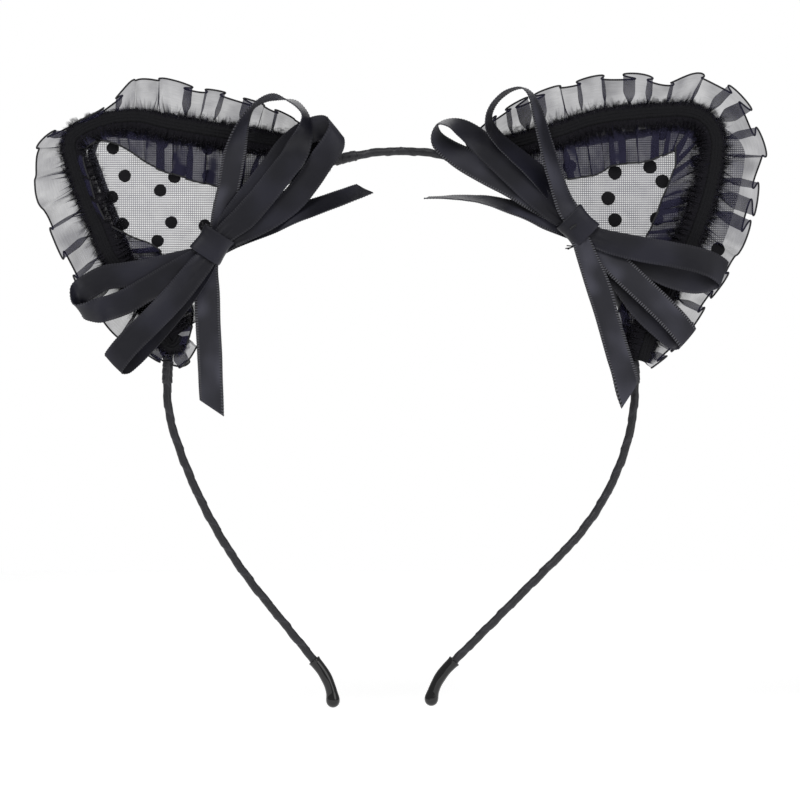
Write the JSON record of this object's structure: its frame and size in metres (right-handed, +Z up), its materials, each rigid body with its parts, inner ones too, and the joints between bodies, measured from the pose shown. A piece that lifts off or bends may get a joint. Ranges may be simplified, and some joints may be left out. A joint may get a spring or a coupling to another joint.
{
  "type": "animal ears headband",
  "caption": "Ribbon-wrapped spring-wire hoop with ruffled sheer cat ears on bendable wires, a double satin bow at each ear and capped ends.",
  "frame": {"origin": "centre of the hoop's upper circle, in the middle of the wire, where the top of the wearer's head goes", "axes": "+Z up as worn, -Y the front with the bows, +X to the right seen from the front"},
  "size_m": [0.1849, 0.0132, 0.1612],
  "materials": {
    "spring_steel": "bright drawn spring wire",
    "wire_wrap": "black satin ribbon wound tight round the wire",
    "vinyl_cap": "glossy black dipped vinyl",
    "dotted_tulle": "fine black net",
    "flocking": "matt black velvet dots",
    "gather_band": "dense stitched gathers, black",
    "organza": "sheer crisp black organza with a thread hem",
    "satin_ribbon": "single-faced satin ribbon with a woven edge",
    "thread": "black sewing thread"
  },
  "bodies": {
    "crown": {"crown_wire": "spring_steel", "crown_wrap": "wire_wrap"},
    "left_side": {"left_side_wire": "spring_steel", "left_side_wrap": "wire_wrap", "left_ear_root_wires": "spring_steel", "left_ear_root_wraps": "wire_wrap", "left_ear_bindings": "wire_wrap", "left_root_ruffles": "organza", "left_tack_stitch": "thread"},
    "left_arm": {"left_arm_wire": "spring_steel", "left_arm_wrap": "wire_wrap", "left_tip_cap": "vinyl_cap"},
    "left_ear": {"left_ear_wire": "spring_steel", "left_ear_wire_wrap": "wire_wrap", "left_tulle": "dotted_tulle", "left_tulle_dots": "flocking", "left_gather_band": "gather_band", "left_outer_ruffle": "organza", "left_inner_ruffle": "organza"},
    "left_bow": {"left_bow_back_ribbon": "satin_ribbon", "left_bow_front_ribbon": "satin_ribbon", "left_bow_tails": "satin_ribbon", "left_bow_knot": "satin_ribbon"},
    "right_side": {"right_side_wire": "spring_steel", "right_side_wrap": "wire_wrap", "right_ear_root_wires": "spring_steel", "right_ear_root_wraps": "wire_wrap", "right_ear_bindings": "wire_wrap", "right_root_ruffles": "organza", "right_tack_stitch": "thread"},
    "right_arm": {"right_arm_wire": "spring_steel", "right_arm_wrap": "wire_wrap", "right_tip_cap": "vinyl_cap"},
    "right_ear": {"right_ear_wire": "spring_steel", "right_ear_wire_wrap": "wire_wrap", "right_tulle": "dotted_tulle", "right_tulle_dots": "flocking", "right_gather_band": "gather_band", "right_outer_ruffle": "organza", "right_inner_ruffle": "organza"},
    "right_bow": {"right_bow_back_ribbon": "satin_ribbon", "right_bow_front_ribbon": "satin_ribbon", "right_bow_tails": "satin_ribbon", "right_bow_knot": "satin_ribbon"}
  },
  "joints": [
    {"name": "left_side_flex", "type": "hinge", "parent": "crown", "child": "left_side", "pos_m": [-0.01031, 0, 0.0585], "axis": [0, 1, 0], "range_deg": [-1.5, 8], "stiffness_Nm_per_rad": 1.2},
    {"name": "left_arm_flex", "type": "hinge", "parent": "left_side", "child": "left_arm", "pos_m": [-0.05936, 0, -0.00207], "axis": [0, 1, 0], "range_deg": [-2.25, 12], "stiffness_Nm_per_rad": 0.8},
    {"name": "left_ear_tilt", "type": "hinge", "parent": "left_side", "child": "left_ear", "pos_m": [-0.0469, 0, 0.03901], "axis": [-0.6394, 0, -0.7688], "range_deg": [0, 30]},
    {"name": "left_bow_swivel", "type": "hinge", "parent": "left_side", "child": "left_bow", "pos_m": [-0.04948, 0, 0.03287], "axis": [0, 1, 0], "range_deg": [-10, 10]},
    {"name": "right_side_flex", "type": "hinge", "parent": "crown", "child": "right_side", "pos_m": [0.01031, 0, 0.0585], "axis": [0, -1, 0], "range_deg": [-1.5, 8], "stiffness_Nm_per_rad": 1.2},
    {"name": "right_arm_flex", "type": "hinge", "parent": "right_side", "child": "right_arm", "pos_m": [0.05936, 0, -0.00207], "axis": [0, -1, 0], "range_deg": [-2.25, 12], "stiffness_Nm_per_rad": 0.8},
    {"name": "right_ear_tilt", "type": "hinge", "parent": "right_side", "child": "right_ear", "pos_m": [0.0469, 0, 0.03901], "axis": [-0.6394, 0, 0.7688], "range_deg": [0, 30]},
    {"name": "right_bow_swivel", "type": "hinge", "parent": "right_side", "child": "right_bow", "pos_m": [0.0453, 0, 0.03842], "axis": [0, 1, 0], "range_deg": [-10, 10]}
  ],
  "couplings": [
    {"joint": "left_arm_flex", "follows": "left_side_flex", "ratio": 1.5},
    {"joint": "right_arm_flex", "follows": "right_side_flex", "ratio": 1.5}
  ]
}
